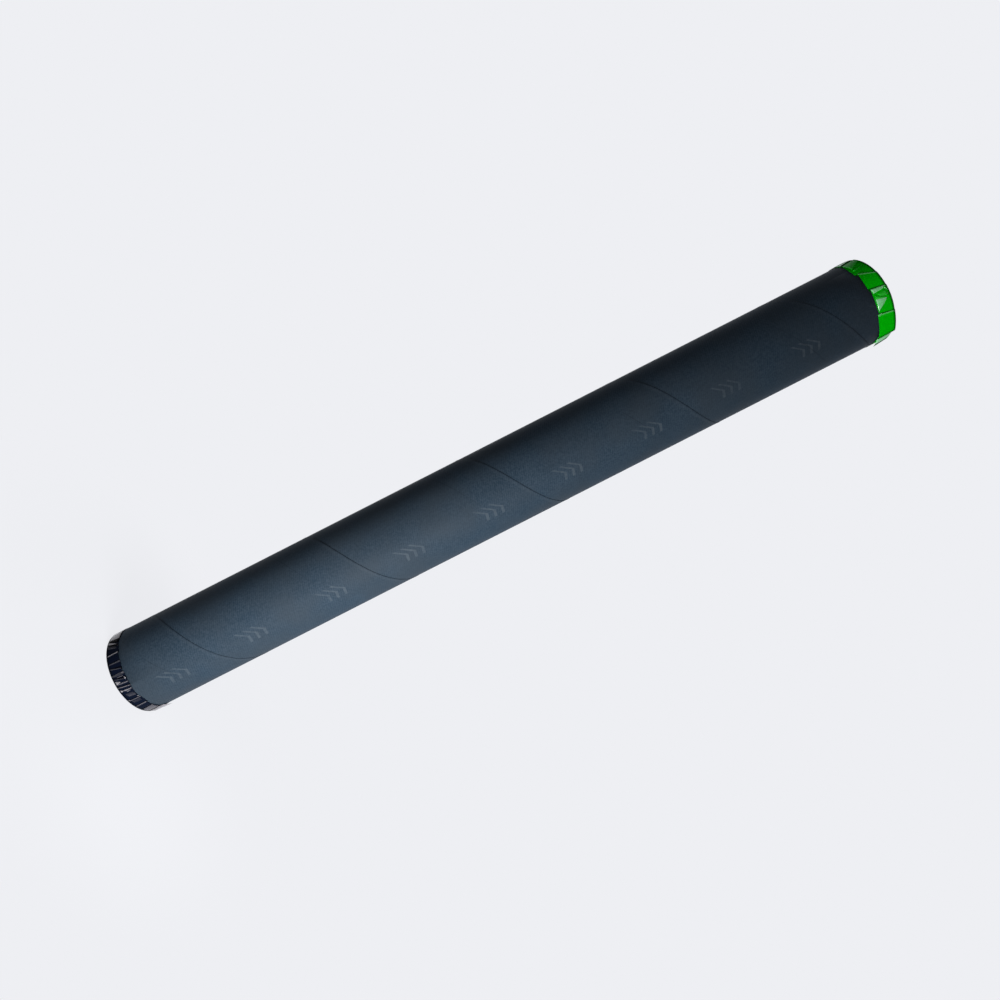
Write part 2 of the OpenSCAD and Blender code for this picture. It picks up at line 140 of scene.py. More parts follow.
def new_group(name, inputs, outputs):
    group = bpy.data.node_groups.new(name, "ShaderNodeTree")
    for label, kind, value in inputs:
        socket = group.interface.new_socket(label, in_out="INPUT", socket_type="NodeSocket" + kind)
        socket.default_value = value
    for label, kind in outputs:
        group.interface.new_socket(label, in_out="OUTPUT", socket_type="NodeSocket" + kind)
    given = group.nodes.new("NodeGroupInput").outputs
    out = group.nodes.new("NodeGroupOutput").inputs
    return group, given, out


def place(tree, group, values):
    return node(tree, "Group", values, node_tree=group).outputs


print("node helpers ready")

# %% [markdown]
# ## Grain, shared by nearly every finish
# Board, moulded plastic, drawn steel and paper all vary a little over their surface. The variation
# could be painted for each, but one group with a scale and a stretch serves them all: a round grain
# is moulded plastic, a long one is drawn or brushed metal, a fine one is paper fibre.

# %% Grain group
grain, given, out = new_group(
    "grain",
    [
        ("Scale", "Float", 800.0), ("Stretch", "Vector", (1.0, 1.0, 1.0)), ("Clouds", "Float", 0.45),
        ("Low", "Float", 0.3), ("High", "Float", 0.5),
    ],
    [("Value", "Float"), ("Mask", "Float"), ("Height", "Float")],
)
BROAD_SHARE = 0.07
DARK_END, LIGHT_END = 0.38, 0.62
spot = node(grain, "TexCoord").outputs["Object"]
drawn = node(grain, "VectorMath", {0: spot, 1: given["Stretch"]}, operation="MULTIPLY").outputs[0]
fine_look = {"Vector": drawn, "Scale": given["Scale"], "Detail": 3.0, "Roughness": 0.6}
fine = node(grain, "TexNoise", fine_look).outputs["Fac"]
broad_scale = calc(grain, "MULTIPLY", given["Scale"], BROAD_SHARE)
broad = node(grain, "TexNoise", {"Vector": drawn, "Scale": broad_scale, "Detail": 2.0}).outputs["Fac"]
both = node(grain, "Mix", {0: given["Clouds"], 2: fine, 3: broad}).outputs[0]
ends = {0: both, 1: DARK_END, 2: LIGHT_END}
mask = node(grain, "MapRange", ends).outputs[0]
value = node(grain, "MapRange", {**ends, 3: given["Low"], 4: given["High"]}).outputs[0]
for label, socket in (("Value", value), ("Mask", mask), ("Height", fine)):
    grain.links.new(socket, out[label])
print("group", grain.name, len(grain.nodes), "nodes")

# %% [markdown]
# ## Folds, shared by both films
# Folded film shows pale glints on its folds and dark lines where folds lap and edges turn away.
# Both are painted into the colour, as painted highlights and painted shade. A picture of the folds
# would not follow the mesh, so the mesh itself carries two numbers at each vertex, one for the
# painted highlight and one for the painted shade, and this group turns them into colour. The green
# and the black film give it their own tones.

# %% Film fold group
folds, given, out = new_group(
    "film_folds",
    [
        ("Film", "Color", (0.1, 0.1, 0.1, 1)), ("Pale", "Color", (0.5, 0.5, 0.5, 1)),
        ("Dark", "Color", (0, 0, 0, 1)),
    ],
    [("Color", "Color"), ("Pale", "Float")],
)
# The pale number paints highlights on the folds; the other paints shade.
pale, edge = mesh_number(folds, "pale"), mesh_number(folds, "edge")
cloud = place(folds, grain, {"Scale": 900.0, "Low": 0.75, "High": 1.0})
patchy = calc(folds, "MULTIPLY", pale, cloud["Value"])
tone = mix(folds, patchy, given["Film"], given["Pale"])
shiny = calc(folds, "MULTIPLY", patchy, calc(folds, "SUBTRACT", 1.0, edge))
folds.links.new(mix(folds, edge, tone, given["Dark"]), out["Color"])
folds.links.new(shiny, out["Pale"])
print("group", folds.name, len(folds.nodes), "nodes")


# %% [markdown]
# ## Plain finishes
# Most inner parts are one material each: moulded plastic, board, steel, brass, rubber. They differ
# in two tones, in the size of their grain and in how rough they are, so one maker with those
# numbers builds them all from the grain group and none of them is a flat colour.

# %% Finish maker
def new_material(name, **sockets):
    made = bpy.data.materials.new(name)
    made.use_nodes = True
    shader = made.node_tree.nodes["Principled BSDF"]
    for label, value in sockets.items():
        shader.inputs[label.replace("_", " ")].default_value = value
    return made, made.node_tree, shader


def dress(tree, shader, color, rough, height, depth):
    dent = node(tree, "Bump", {"Strength": 1.0, "Distance": depth, "Height": height}).outputs["Normal"]
    for label, socket in (("Base Color", color), ("Roughness", rough), ("Normal", dent)):
        tree.links.new(socket, shader.inputs[label])


def grained(name, tone_a, tone_b, scale, rough, depth, stretch=(1, 1, 1), **sockets):
    made, tree, shader = new_material(name, **sockets)
    look = place(tree, grain, {"Scale": scale, "Stretch": stretch, "Low": rough[0], "High": rough[1]})
    color = mix(tree, look["Mask"], (*tone_a, 1), (*tone_b, 1))
    dress(tree, shader, color, look["Value"], look["Height"], depth)
    return made


print("finish maker ready")

# %% [markdown]
# ## The wrap's paper
# The tube's outer layer is a dark blue-black paper with a dull coating. Its fibres show as a fine
# crossed texture, its tone drifts a little from slate to grey, and faint printed chevrons, which
# point the way the streamers fly, repeat along the strip. They lie on the strip, not on the tube, so
# they read the strip's own two numbers: how far along it a point is and how far across. Two more
# numbers mark a painted shadow along its lapped edge and a painted highlight on the bend beside it,
# broken up in places. A fainter painted shade line runs in places where the edge of the layer beneath lies.

# %% Wrap paper: marks on the strip
wrap_paper, tree, shader = new_material("wrap_paper", Specular_IOR_Level=0.025)
along, across = mesh_number(tree, "along"), mesh_number(tree, "across")
# The lapped edge carries a painted shadow and the bend beside it a painted highlight.
seam_edge, lap_highlight = mesh_number(tree, "edge"), mesh_number(tree, "lap_highlight")
mark_every, row_every, mark_middle = 54 * MM, 51.8 * MM, 27 * MM
bar_every, bar_width, bar_slant = 5 * MM, 1.6 * MM, 0.8
mark_half_width, mark_half_height = 4.5 * MM, 7.4 * MM
# A painted shade line where the edge of the layer beneath lies.
beneath_at, beneath_half_width = 78 * MM, 0.3 * MM
in_mark = calc(tree, "SUBTRACT", calc(tree, "FLOORED_MODULO", along, mark_every), mark_middle)
in_row = calc(tree, "SUBTRACT", calc(tree, "FLOORED_MODULO", across, row_every), mark_middle)
side = calc(tree, "ABSOLUTE", in_mark)
rise = calc(tree, "MULTIPLY_ADD", side, bar_slant, in_row)
bars = calc(tree, "LESS_THAN", calc(tree, "FLOORED_MODULO", rise, bar_every), bar_width)
row = calc(tree, "LESS_THAN", calc(tree, "ABSOLUTE", rise), mark_half_height)
column = calc(tree, "LESS_THAN", side, mark_half_width)
mark = calc(tree, "MULTIPLY", column, calc(tree, "MULTIPLY", bars, row))
from_beneath = calc(tree, "ABSOLUTE", calc(tree, "SUBTRACT", across, beneath_at))
beneath = calc(tree, "LESS_THAN", from_beneath, beneath_half_width)
print("chevrons every", mark_every / MM, "mm")

# %% Wrap paper: tone and texture
slate_dark, slate_light = (0.0125, 0.0245, 0.0385, 1), (0.033, 0.049, 0.068, 1)
grey, ink = (0.028, 0.036, 0.045, 1), (0.070, 0.086, 0.102, 1)
# Painted shade tones for the line beneath and the seam, and the painted highlight tone of the lap.
shade_line, seam_shadow_tone = (0.008, 0.012, 0.018, 1), (0.004, 0.006, 0.009, 1)
lap_highlight_tone = (0.12, 0.13, 0.14, 1)
weave_step, weave_share, beneath_shade_share, seam_shadow_share = 1.3 * MM, 0.12, 0.7, 0.85
fibre = place(tree, grain, {"Scale": 950.0, "Clouds": 0.15, "Low": 0.46, "High": 0.58})
worn = place(tree, grain, {"Scale": 700.0, "Low": 0.15, "High": 0.5})["Value"]
drift = place(tree, grain, {"Scale": 450.0, "Clouds": 0.92, "Low": 0.0, "High": 0.5})["Value"]
waves = []
for lean in (1.0, -1.0):
    slope = calc(tree, "MULTIPLY_ADD", across, lean, along)
    waves.append(calc(tree, "SINE", calc(tree, "MULTIPLY", slope, 2 * math.pi / weave_step)))
weave = calc(tree, "MULTIPLY", calc(tree, "ADD", *waves), weave_share)
woven = calc(tree, "ADD", calc(tree, "MULTIPLY_ADD", fibre["Mask"], 0.5, 0.25), weave)
beneath_shade = calc(tree, "MULTIPLY", calc(tree, "MULTIPLY", beneath, drift), beneath_shade_share)
tone = mix(tree, drift, mix(tree, woven, slate_dark, slate_light), grey)
tone = mix(tree, calc(tree, "MULTIPLY", mark, worn), tone, ink)
# Painted shade line along the layer beneath, broken up by the drift.
tone = mix(tree, beneath_shade, tone, shade_line)
# Painted highlight on the lap's bend, broken up by the wear mask.
tone = mix(tree, calc(tree, "MULTIPLY", lap_highlight, worn), tone, lap_highlight_tone)
# Painted shadow along the lapped seam.
tone = mix(tree, calc(tree, "MULTIPLY", seam_edge, seam_shadow_share), tone, seam_shadow_tone)
dress(tree, shader, tone, fibre["Value"], calc(tree, "ADD", weave, fibre["Height"]), 0.06 * MM)
print("finish", wrap_paper.name, len(tree.nodes), "nodes")


# %% [markdown]
# ## The two films
# Both ends are closed with thin plastic film, green at the muzzle and black at the base. They share
# the fold group; fine wrinkles of the stretched film come from a bump. The painted fold highlights
# also get a glossier coat, so the same mask, without the painted shade, drives the coat.

# %% Film finishes
def film(name, tone, pale_tone, dark_tone, rough, **sockets):
    made, tree, shader = new_material(name, Coat_Roughness=0.12, **sockets)
    fold = place(tree, folds, {"Film": (*tone, 1), "Pale": (*pale_tone, 1), "Dark": (*dark_tone, 1)})
    wrinkles = {"Scale": 420.0, "Stretch": (1, 1, 0.35), "Low": rough[0], "High": rough[1]}
    crinkle = place(tree, grain, wrinkles)
    dress(tree, shader, fold["Color"], crinkle["Value"], crinkle["Height"], 0.015 * MM)
    tree.links.new(fold["Pale"], shader.inputs["Coat Weight"])
    return made


# The second tone is the painted highlight colour, the third the painted shade colour.
film_green = film(
    "film_green", (0.001, 0.68, 0.003), (0.36, 1.0, 0.47), (0.0, 0.012, 0.002), (0.16, 0.28),
    Specular_IOR_Level=0.0, Coat_IOR=1.8,
)
film_black = film(
    "film_black", (0.0026, 0.0046, 0.012), (0.49, 0.47, 0.50), (0.001, 0.001, 0.002), (0.16, 0.30),
    Specular_IOR_Level=0.01,
)
print("finishes", film_green.name, film_black.name)


# %% [markdown]
# ## The wound wrap
# The wrap is one long strip of paper wound round the tube in a right-hand spiral, each turn lapping
# the last by about a millimetre. A cylinder with a drawn line would look smooth at the seam. So the
# strip's cross-section, a few vertices from its lower edge to its upper one, is spun round the axis
# with a rise at each step, which is how the strip is really laid. Two cuts then trim it to the tube.

# %% Spin helper
def spin_line(bm, points, angle, steps, shift=(0, 0, 0), merge=False):
    line = [bm.verts.new(point) for point in points]
    links = [bm.edges.new(pair) for pair in zip(line, line[1:])]
    bmesh.ops.spin(
        bm, geom=line + links, cent=(0, 0, 0), axis=(0, 0, 1), dvec=shift,
        angle=angle, steps=steps, use_merge=merge,
    )


print("spin helper ready")

# %% Barrel wrap
pitch, lap, front_seam = 103.6 * MM, 0.9 * MM, 50.7 * MM
turns, turns_to_front, turn_steps = 6.25, 1.75, 120
strip = [
    (0, -0.09), (0.6, -0.08), (1.6, -0.02), (20, 0), (50, 0), (80, 0),
    (101, 0), (103, 0.03), (104.15, 0.07), (104.5, 0.07),
]
# Painted shadow on the strip's top rows, painted highlight on the row below them.
edge_rows, lap_highlight_rows = {0: 1.0, 1: 0.15}, {2: 0.15}
start_z = front_seam - lap - turns_to_front * pitch
bm = bmesh.new()
layers = {label: bm.verts.layers.float.new(label) for label in ("along", "across", "edge", "lap_highlight")}
points = [(tube_r + r * MM, 0, start_z + z * MM) for z, r in strip]
spin_line(bm, points, 2 * math.pi * turns, int(turn_steps * turns), (0, 0, pitch / turn_steps))
for i, v in enumerate(bm.verts):
    step, k = divmod(i, len(strip))
    from_edge = len(strip) - 1 - k
    v[layers["along"]] = 2 * math.pi * tube_r * step / turn_steps
    v[layers["across"]] = strip[k][0] * MM
    v[layers["edge"]] = edge_rows.get(from_edge, 0.0)
    v[layers["lap_highlight"]] = lap_highlight_rows.get(from_edge, 0.0)
bmesh.ops.recalc_face_normals(bm, faces=bm.faces)
for z, way in ((z_base, -1), (z_top, 1)):
    everything = bm.verts[:] + bm.edges[:] + bm.faces[:]
    bmesh.ops.bisect_plane(bm, geom=everything, plane_co=(0, 0, z), plane_no=(0, 0, way), clear_outer=True)
if sum(f.normal.dot(Vector((*f.calc_center_median().xy, 0))) for f in bm.faces) < 0:
    bmesh.ops.reverse_faces(bm, faces=bm.faces)
wrap = add_piece(
    "barrel_wrap_strip", bm, wrap_paper, "barrel", ["barrel_wrap"], wall=0.07 * MM,
)
print(wrap.name, len(wrap.data.polygons), "faces, pitch", pitch / MM, "mm")

# %% [markdown]
# ## One fold of film
# Both end films are shingled: each panel starts lifted on top of its neighbour and sinks until it
# disappears under the next one. That is a spiral with very little pitch. So a fold is the film's
# outline, from its free edge over the tube's corner to its inner edge, spun through the panel's
# width while it moves inward a little at each step. Slanted borders are made by turning each vertex
# the more, the further it is from the rim. A painted shadow darkens a panel where the next one lies
# on it, painted shade lines its free edge, its first side and its bend over the corner, and a painted
# highlight runs along its crease.

# %% Fold helper
STEP_DEGREES = 0.6
CREASE_AT = 0.9
BEND, BESIDE_BEND = 0.02, 0.05
# Painted shade amounts: the bend over the corner, the shadow under the next panel, the free edge and the
# first side.
BEND_DARK = {BEND: 0.88, BESIDE_BEND: 0.5}
BORDER_DARK, FREE_EDGE_DARK, FIRST_SIDE_DARK = 0.9, 0.6, 0.8


def new_film():
    bm = bmesh.new()
    for label in ("pale", "edge"):
        bm.verts.layers.float.new(label)
    return bm


def film_numbers(bm):
    return bm.verts.layers.float["pale"], bm.verts.layers.float["edge"]


def turned(v, degrees):
    v.co = Matrix.Rotation(math.radians(degrees), 3, "Z") @ v.co


def add_fold(
    bm, outline, start, end, lift, crease, width, deep=0.0, slope=0.0, bow=0.0,
    tuck=2.5, last_lift=0.0, puff=0.0, shade=1.4,
):
    pale, edge = film_numbers(bm)
    sweep = end[0] - start[0] + tuck
    steps = max(6, round(max(end[1] - start[1] + tuck, sweep) / STEP_DEGREES))
    first = len(bm.verts)
    points = [(r + lift, 0, z) for r, z, h in outline]
    spin_line(bm, points, math.radians(sweep), steps, ((last_lift - lift) / steps, 0, 0))
    bm.verts.ensure_lookup_table()
    for i in range(first, len(bm.verts)):
        v = bm.verts[i]
        step, k = divmod(i - first, len(outline))
        t, h = step / steps, outline[k][2]
        lean = (start[1] - start[0]) * (1 - t) + (end[1] - end[0]) * t
        turned(v, start[0] + lean * h)
        swell = puff * (1 - h) * t * t
        v.co.z += h * (slope * t - bow * 4 * t * (1 - t)) + swell
        v.co.xy *= 1 + 0.5 * swell / v.co.xy.length
        gone, left = t * sweep, (1 - t) * sweep - tuck
        # Painted highlight along the crease; painted shade from the panel's own darkness, the next panel,
        # the bend and the edges.
        v[pale] = crease * max(0.0, 1 - abs(gone - CREASE_AT) / width)
        border = BORDER_DARK * max(0.0, 1 - max(0.0, left) / shade)
        free_edge = FREE_EDGE_DARK if k == 0 else 0.0
        first_side = FIRST_SIDE_DARK if step == 0 else 0.0
        v[edge] = max(deep, border, BEND_DARK.get(h, 0.0), free_edge, first_side)


def outward(bm, tilt=0.0):
    bm.normal_update()
    turned_in = []
    for f in bm.faces:
        out = f.calc_center_median().xy.normalized().to_3d() + Vector((0, 0, tilt))
        if f.normal.dot(out) < 0:
            turned_in.append(f)
    bmesh.ops.reverse_faces(bm, faces=turned_in)


print("fold helper ready")

# %% [markdown]
# ## A facet on a fold
# Pinched film also shows small flat facets: a pale triangle, a streak, a grey wedge. They could be
# painted on the folds, but then they would not catch the light on their own. So each is one grid
# stretched between four corners, along its first side and back along its last, each given as an angle
# round the tube and a height. It is crowned a little in its middle. A facet's row gives its corners,
# how pale its first and last sides are as a painted highlight, and how dark it is as a whole as painted
# shade. Some rows go on with the painted dark outlines of both sides, how far the last side rises off
# the tube as a loose lip, and how broad that side's painted dark band is.

# %% Facet helper
CROWN, LIP_TAPER, PALE_FADE = 0.1, 0.6, 0.3
FACET_ROWS, SIDE_BAND = 8, 0.01
NO_LINE, ONE_LINE, TWO_LINES = (0.0, 0.0), (0.0, 0.85), (0.9, 0.9)


def add_facet(
    bm, corners, radius, pale_from, pale_to, deep=0.0, outlines=NO_LINE, rise=0.0, band=SIDE_BAND,
):
    pale, edge = film_numbers(bm)
    (a0, z0), (a1, z1), (a2, z2), (a3, z3) = corners
    columns = max(6, min(30, round(abs(a3 - a0) + abs(a2 - a1))))
    made = bmesh.ops.create_grid(bm, x_segments=columns, y_segments=FACET_ROWS, size=0.5)["verts"]
    for v in made:
        u, w = v.co.x + 0.5, v.co.y + 0.5
        angle = (a0 * (1 - w) + a1 * w) * (1 - u) + (a3 * (1 - w) + a2 * w) * u
        z = (z0 * (1 - w) + z1 * w) * (1 - u) + (z3 * (1 - w) + z2 * w) * u
        crown = CROWN * math.sin(math.pi * u) * math.sin(math.pi * w)
        v.co = (radius + (crown + rise * u * (1 - LIP_TAPER * w)) * MM, 0, z * MM)
        turned(v, angle)
        # Painted highlight across the facet, painted shade for its darkness and outlines.
        v[pale] = (pale_from * (1 - u) + pale_to * u) * (1 - PALE_FADE * w)
        v[edge] = max(deep, outlines[0] if u < SIDE_BAND else outlines[1] if u > 1 - band else 0.0)


def shifted(facets, degrees):
    return [(tuple((a + degrees, z) for a, z in corners), *look) for corners, *look in facets]


print("facet helper ready")

# %% [markdown]
# ## The muzzle film's folded rim
# The green film is drawn over the muzzle and pressed down the tube in about eleven broad panels.
# Their borders lean, some more than others, and where a fold was pinched a pale painted highlight
# shows as a narrow strip or a triangle. Each row gives a panel's border at the rim and at the free
# edge, how far the free edge lies below the rim at its two ends, and how dark the panel is as painted
# shade. The part turned to the photograph follows it, the rest goes on in the same manner. One panel
# is loose: its end lies on top of the next one and stands off the tube.

# %% Muzzle film rim
film_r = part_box("base_film")[1][0]
skin = film_r - 0.04 * MM
# The last value of a row is the panel's painted shade.
panels = [
    (8, 5, 10.2, 9.6, 0.1), (39, 33, 9.3, 10.1, 0.0), (72, 75, 9.6, 10.4, 0.25),
    (105, 103, 9.5, 10.2, 0.0), (139, 131, 9.2, 10.3, 0.1), (168, 171, 9.8, 9.4, 0.3),
    (201, 205, 9.5, 10.6, 0.0), (244.3, 234.4, 9.0, 10.1, 0.0), (264.6, 262, 9.3, 9.5, 0.0),
    (299.5, 295.4, 10.6, 9.1, 0.0), (332, 337, 9.1, 9.6, 0.15),
]
loose = 9
loose_look = {"last_lift": 0.8 * MM, "tuck": 0, "puff": 0.9 * MM, "shade": 5.0}
panel_lift, lift_under_loose, hidden_under_loose = 0.3, 0.05, 3


def muzzle_outline(depth):
    low = z_top - depth * MM
    rows = [(skin, low + (z_top - low) * s, 1 - s) for s in (0, 0.04, 0.3, 0.6, 0.85)]
    corner = [
        (0.02, -0.7, BESIDE_BEND), (0.0, 0.1, BEND), (-0.3, 0.5, BEND),
        (-0.8, 0.58, 0), (-1.3, 0.42, 0), (-1.6, 0.36, 0),
    ]
    return rows + [(skin + r * MM, z_top + z * MM, h) for r, z, h in corner]


def next_border(rows, i):
    turn = 360 if i == len(rows) - 1 else 0
    return [a + turn for a in rows[(i + 1) % len(rows)][:2]]


bm = new_film()
for i, (at_rim, at_edge, depth, last_depth, deep) in enumerate(panels):
    lift = panel_lift
    if i == loose + 1:
        at_rim, at_edge = at_rim - hidden_under_loose, at_edge - hidden_under_loose
        lift = lift_under_loose
    add_fold(
        bm, muzzle_outline(depth), (at_rim, at_edge), next_border(panels, i), lift * MM,
        crease=0.4, width=1.4, deep=deep, slope=(depth - last_depth) * MM, bow=0.45 * MM,
        **(loose_look if i == loose else {}),
    )
print(len(panels), "panels")

# %% Muzzle film facets
top, facet_r = z_top / MM, skin + 0.33 * MM
# Pinched facets: pale painted highlights, with painted shade outlines.
pinch = [
    (((263.4, -9.2), (264.9, -1.9), (267.8, -2.2), (268.6, -8.7)), 1.0, 0.85, 0.0, NO_LINE),
    (((265.2, -1.8), (270.2, -0.5), (272.2, -0.6), (268.4, -1.7)), 0.7, 0.4, 0.0, NO_LINE),
    (((270.8, -7.2), (270.0, -2.2), (277.6, -1.2), (275.4, -5.6)), 0.03, 0.12, 0.0, ONE_LINE),
    (((271.2, -8.9), (275.6, -5.7), (279.3, -3.0), (277.0, -8.8)), 0.0, 0.14, 0.0, NO_LINE),
    (((276.6, -9.1), (279.7, -2.8), (281.4, -2.9), (292.6, -9.4)), 1.0, 0.75, 0.0, ONE_LINE),
]
facets = pinch + shifted(pinch, -225.6) + shifted(pinch, -125.6)
# Pale streaks of painted highlight.
streaks = [
    (206.4, 17.0, 0.8, 0.36, 0.03), (226, 2.4, 2.2, 0.09, 0.03),
    (56, 2.0, 2.2, 0.2, 0.05), (88, 2.6, 1.2, 0.25, 0.1),
]
for at, wide, short, share, last in streaks:
    corners = ((at, -9.3), (at - 2.4, -short), (at - 2 + wide / 2, -short - 0.4), (at + wide, -8.6))
    facets.append((corners, share, last, 0.05, NO_LINE))
# A pale painted highlight strip between painted dark bands, the loose lip's painted highlight and dark
# outlines, and one small painted highlight.
facets += [
    (((182, -9.2), (183, -0.6), (190.5, -0.6), (190, -9.2)), 0.0, 0.0, 0.9, NO_LINE),
    (((190, -9.2), (190.5, -0.9), (194, -0.9), (201, -9.2)), 0.9, 1.0, 0.0, NO_LINE),
    (((201, -9.4), (194, -0.6), (198.5, -0.6), (205.6, -9.4)), 0.0, 0.0, 0.9, NO_LINE),
    (((337.6, -9.6), (332.4, -0.2), (352, -0.6), (356.5, -8.8)), 1.0, 1.0, 0.0, TWO_LINES, 1.3, 0.4),
    (((296, -10.1), (295.6, -8.4), (297.5, -7.6), (299.5, -10.0)), 0.6, 0.2, 0.0, NO_LINE),
]
for corners, *look in facets:
    add_facet(bm, [(a, top + z) for a, z in corners], facet_r, *look)
outward(bm, 1.0)
rim = add_piece(
    "muzzle_film_folds", bm, film_green, "barrel", ["muzzle_film_rim"], wall=0.04 * MM,
)
print(rim.name, len(facets), "facets,", len(rim.data.polygons), "faces")

# %% [markdown]
# ## The muzzle film's face
# The middle of the green film is stretched over the muzzle like a drum and tears out when the
# streamers leave, so it is a piece of its own that rides with them. A flat disc would look cut from
# card: a radial profile is spun full circle, and its vertices are lifted by fine pulls that run in
# from each fold.

# %% Muzzle film face
face_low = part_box("muzzle_film_face")[0][2]
face_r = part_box("muzzle_film_face")[1][0]
pull_height, wave_height, dome_height = 0.16, 0.10, 0.3
pull_degrees, pull_narrowing, pull_change = 5, 2.5, 0.4
pulls_from, pale_from, pale_share = 0.35, 0.55, 0.35
bm = new_film()
pale, edge = film_numbers(bm)
reach = [0.0, 0.12, 0.25, 0.38, 0.5, 0.62, 0.73, 0.82, 0.89, 0.95, 0.985, 1.0]
points = [(face_r * s, 0, face_low + 0.05 * MM) for s in reach]
spin_line(bm, points, 2 * math.pi, 180, merge=True)
bmesh.ops.remove_doubles(bm, verts=bm.verts, dist=0.01 * MM)
for v in bm.verts:
    s = v.co.xy.length / face_r
    a = math.degrees(math.atan2(v.co.y, v.co.x)) % 360
    pull = 0.0
    for at_rim, _, depth, last_depth, _ in panels:
        away = (a - at_rim + 180) % 360 - 180
        narrow = math.exp(-((away / (pull_degrees - pull_narrowing * s)) ** 2))
        pull += narrow * (1 + pull_change * (last_depth - depth))
    soft = 1 + math.sin(math.radians(5 * a) + 4 * s) * math.sin(math.radians(3 * a + 40))
    pulled = pull_height * pull * max(0, s - pulls_from) ** 1.5
    waved = wave_height * soft * s * (1.05 - s)
    v.co.z += (pulled + waved + dome_height * (1 - s * s)) * MM
    # Painted highlight along the pulls, painted shade round the free edge.
    v[pale] = pale_share * min(1.0, pull) * max(0, s - pale_from)
    v[edge] = FREE_EDGE_DARK if s > 0.99 else 0.0
bmesh.ops.recalc_face_normals(bm, faces=bm.faces)
if sum(f.normal.z for f in bm.faces) < 0:
    bmesh.ops.reverse_faces(bm, faces=bm.faces)
face = add_piece(
    "muzzle_film_drum", bm, film_green, "payload", ["muzzle_film_face"], wall=0.04 * MM,
)
print(face.name, len(face.data.polygons), "faces")

# %% [markdown]
# ## The base film
# Round the base the black film is narrower and gathered in many small pleats, whose creases carry
# thin pale lines of painted highlight. It could be one ring with a bump, but then the pleats would
# vanish from the outline. The same fold helper lays each pleat as a shingle. A row gives a pleat's
# border at the rim and at the free edge, how strong its painted crease highlight is and how wide. The
# side of the photograph has its creases where they were seen, the far side is spread by a simple rule.

# %% Base film pleats
# The third value is the painted highlight on the pleat's crease.
pleats = [
    (207, 214, 0.2, 1.2), (219, 225, 0.15, 1.6), (235, 234.6, 0.6, 1.2), (247, 247.4, 0.15, 0.9),
    (253, 257.8, 0.17, 0.9), (262.6, 262.4, 0.22, 1.0), (266.8, 272, 0.08, 1.0),
    (274.4, 275.8, 0.24, 0.9), (278.6, 282, 0.34, 0.9), (284.4, 285.8, 0.24, 1.0),
    (301.4, 302.2, 0.2, 1.0), (314.6, 314.2, 0.18, 1.8), (326.8, 326.2, 0.2, 1.0),
    (341.6, 341, 0.1, 1.0),
]
far_start, far_step, far_count = 355, 16.4, 13
for i in range(far_count):
    at_rim = far_start + far_step * i + 3 * math.sin(2.4 * i)
    at_edge = at_rim + 2.5 * math.sin(1.9 * i)
    pleats.append((at_rim, at_edge, 0.38 + 0.25 * math.sin(2.1 * i), 1.0 + 0.4 * math.sin(3.3 * i)))
base_skin = film_r - 0.1 * MM
inner_r = film_r - 7.9 * MM
pleat_height, height_change, slope_change = 7.9, 0.3, 0.35


def base_outline(height):
    rows = [(base_skin, height * MM * s, s) for s in (1, 0.95, 0.6, 0.25)]
    corner = [
        (0, 1.0, BESIDE_BEND), (-0.06, 0.5, BEND), (-0.4, 0.04, BEND), (-0.9, 0.03, 0), (-4, 0.03, 0),
    ]
    return rows + [(base_skin + r * MM, z * MM, h) for r, z, h in corner] + [(inner_r, 0.03 * MM, 0)]


bm = new_film()
for i, (at_rim, at_edge, crease, width) in enumerate(pleats):
    height = pleat_height + height_change * math.sin(2.7 * i)
    add_fold(
        bm, base_outline(height), (at_rim, at_edge), next_border(pleats, i), 0.2 * MM,
        crease=crease, width=width, slope=slope_change * math.sin(1.3 * i) * MM, tuck=2,
    )
print(len(pleats), "pleats")

# %% Base film facets
glint_r = base_skin + 0.24 * MM
# Glints are painted highlights; facets with a last value near one are painted shade bands, and the lip's
# outlines are painted shade.
gather = [
    (((263.4, 1.2), (263.6, 6.4), (266.2, 6.8), (265.2, 1.4)), 0.1, 0.05, 0.0),
    (((266.4, 3.0), (266.6, 6.6), (268.2, 6.9), (267.6, 3.4)), 0.06, 0.15, 0.0),
    (((269.0, 6.8), (269.8, 7.4), (271.8, 7.8), (273.0, 7.2)), 0.4, 0.5, 0.0),
    (((270.6, 1.0), (273.4, 3.9), (274.2, 3.6), (275.4, 1.3)), 0.3, 0.5, 0.0),
    (((283.4, 1.1), (285.4, 2.5), (285.9, 2.3), (286.8, 1.2)), 0.5, 0.7, 0.0),
    (((285.0, 2.7), (286.0, 7.2), (287.0, 7.0), (287.2, 3.4)), 0.5, 0.2, 0.0),
    (((287.4, 3.8), (287.4, 6.2), (289.0, 6.0), (289.2, 4.2)), 0.14, 0.24, 0.0),
    (((290.6, 2.0), (291.5, 6.4), (297.5, 7.2), (296.0, 3.0)), 0.03, 0.1, 0.0),
]
